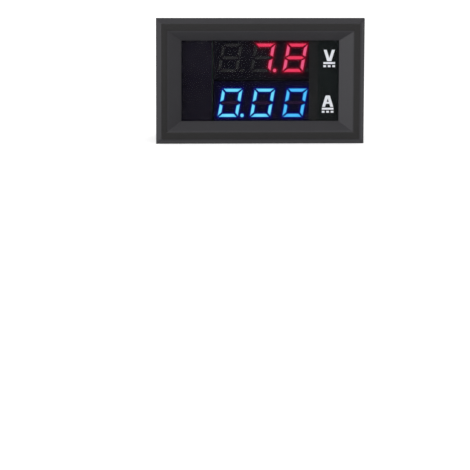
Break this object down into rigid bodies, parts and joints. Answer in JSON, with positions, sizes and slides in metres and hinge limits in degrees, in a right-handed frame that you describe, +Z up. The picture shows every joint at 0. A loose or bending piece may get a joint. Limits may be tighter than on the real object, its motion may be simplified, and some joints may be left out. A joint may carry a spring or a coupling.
{
  "type": "digital panel meter",
  "caption": "Rectangular snap-in panel meter with a chamfered black bezel, a smoked window, a red and a blue row of seven-segment digits, and rear sockets for power and current.",
  "frame": {"origin": "centre of the panel cut-out, on the back face of the bezel", "axes": "+X along the bezel's long side, +Y from the front into the panel, +Z up"},
  "size_m": [0.048, 0.021, 0.029],
  "materials": {
    "black_abs": "fine moulded texture, satin on the slopes",
    "smoked_acrylic": "smooth, smoked",
    "display_black": "matt black face, light inside",
    "display_board": "glass-fibre board",
    "lit_red": "diffusing resin, lit",
    "lit_blue": "diffusing resin, lit",
    "unlit_resin": "milky resin behind a smoked window, unlit",
    "board_green": "solder mask over copper tracks",
    "solder": "bright, slightly grainy",
    "tinned_pins": "tin plating",
    "white_nylon": "moulded nylon",
    "trimmer_ceramic": "fired, matt",
    "rotor_metal": "plated, stamped",
    "chip_black": "moulding compound",
    "tantalum_yellow": "moulding compound",
    "capacitor_tan": "fired, satin"
  },
  "bodies": {
    "meter": {"housing": "black_abs", "lens": "smoked_acrylic", "red_display_case": "display_black", "red_display_base": "display_board", "red_display_pins": "tinned_pins", "red_segments_lit": "lit_red", "red_segments_unlit": "unlit_resin", "blue_display_case": "display_black", "blue_display_base": "display_board", "blue_display_pins": "tinned_pins", "blue_segments_lit": "lit_blue", "blue_segments_unlit": "unlit_resin", "circuit_board": "board_green", "display_solder": "solder", "socket_solder": "solder", "power_socket": "white_nylon", "power_socket_pins": "tinned_pins", "current_socket": "white_nylon", "current_socket_pins": "tinned_pins", "volt_trimmer_base": "trimmer_ceramic", "volt_trimmer_terminals": "tinned_pins", "amp_trimmer_base": "trimmer_ceramic", "amp_trimmer_terminals": "tinned_pins", "controller": "chip_black", "controller_leads": "tinned_pins", "amplifier": "chip_black", "amplifier_leads": "tinned_pins", "regulator": "chip_black", "regulator_leads": "tinned_pins", "input_diode": "chip_black", "input_diode_terminals": "tinned_pins", "bulk_capacitor": "tantalum_yellow", "bulk_capacitor_terminals": "tinned_pins", "chip_resistors": "chip_black", "resistor_end_caps": "tinned_pins", "chip_capacitors": "capacitor_tan", "capacitor_end_caps": "tinned_pins"},
    "volt_trimmer_rotor": {"volt_trimmer_rotor": "rotor_metal"},
    "amp_trimmer_rotor": {"amp_trimmer_rotor": "rotor_metal"}
  },
  "joints": [
    {"name": "volt_trim_turn", "type": "hinge", "parent": "meter", "child": "volt_trimmer_rotor", "pos_m": [0.01063, 0.0092, 0.0054], "axis": [0, 1, 0], "range_deg": [-120, 120]},
    {"name": "amp_trim_turn", "type": "hinge", "parent": "meter", "child": "amp_trimmer_rotor", "pos_m": [0.01063, 0.0092, -0.0054], "axis": [0, 1, 0], "range_deg": [-120, 120]}
  ]
}
